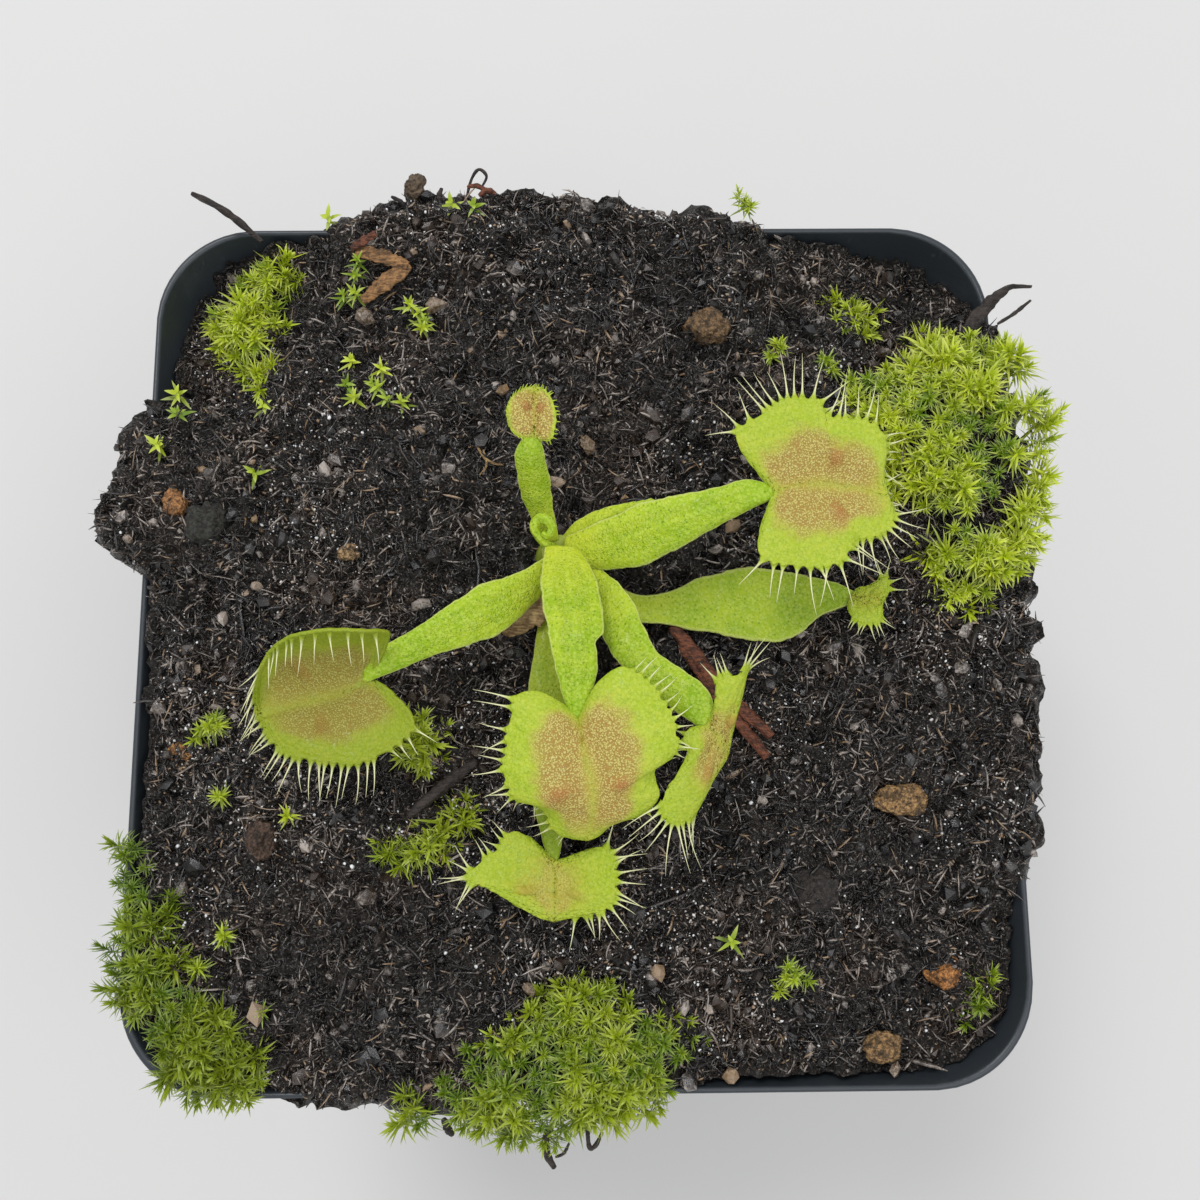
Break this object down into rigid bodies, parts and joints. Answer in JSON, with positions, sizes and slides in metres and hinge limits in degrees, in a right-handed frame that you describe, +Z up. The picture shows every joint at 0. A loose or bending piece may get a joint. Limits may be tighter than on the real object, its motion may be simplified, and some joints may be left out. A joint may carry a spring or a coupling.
{
  "type": "potted venus flytrap",
  "caption": "Small carnivorous house plant with toothed two-lobed leaf traps, growing in moist dark soil with moss cushions in a square plastic nursery pot",
  "frame": {"origin": "centre of the pot's flat underside, on the surface it stands on", "axes": "+Z is up through the plant, -Y is the near side, +X is to the right seen from the near side"},
  "size_m": [0.0898, 0.0866, 0.09],
  "materials": {
    "pot_plastic": "satin",
    "soil": "matte",
    "crown": "satin",
    "leaf": "satin",
    "moss": "matte",
    "grit": "matte",
    "bark": "matte",
    "dead_leaf": "matte",
    "dead_twig": "matte"
  },
  "bodies": {
    "root": {"pot": "pot_plastic", "soil": "soil", "crown": "crown", "leaf_north": "leaf", "leaf_bud": "leaf", "leaf_east": "leaf", "leaf_east_low": "leaf", "leaf_south_east": "leaf", "leaf_south": "leaf", "leaf_south_low": "leaf", "leaf_west": "leaf", "dead_leaf": "dead_leaf", "moss_north_west": "moss", "moss_north_east": "moss", "moss_east": "moss", "moss_south_east": "moss", "moss_south": "moss", "moss_south_west": "moss", "moss_middle": "moss", "moss_middle_low": "moss", "moss_tuft_1": "moss", "moss_tuft_2": "moss", "moss_tuft_3": "moss", "moss_tuft_4": "moss", "moss_tuft_5": "moss", "moss_tuft_6": "moss", "moss_tuft_7": "moss", "moss_tuft_8": "moss", "moss_tuft_9": "moss", "moss_tuft_10": "moss", "moss_tuft_11": "moss", "moss_tuft_12": "moss", "moss_tuft_13": "moss", "moss_tuft_14": "moss", "moss_tuft_15": "moss", "moss_tuft_16": "moss", "stone_1": "grit", "stone_2": "grit", "stone_3": "grit", "stone_4": "grit", "stone_5": "grit", "stone_6": "grit", "stone_7": "grit", "stone_8": "grit", "stone_9": "grit", "stone_10": "grit", "bark_strip": "bark", "bark_chip": "bark", "twig_corner": "dead_twig", "twig_middle": "dead_twig", "leaf_scrap": "dead_twig"}
  },
  "joints": []
}
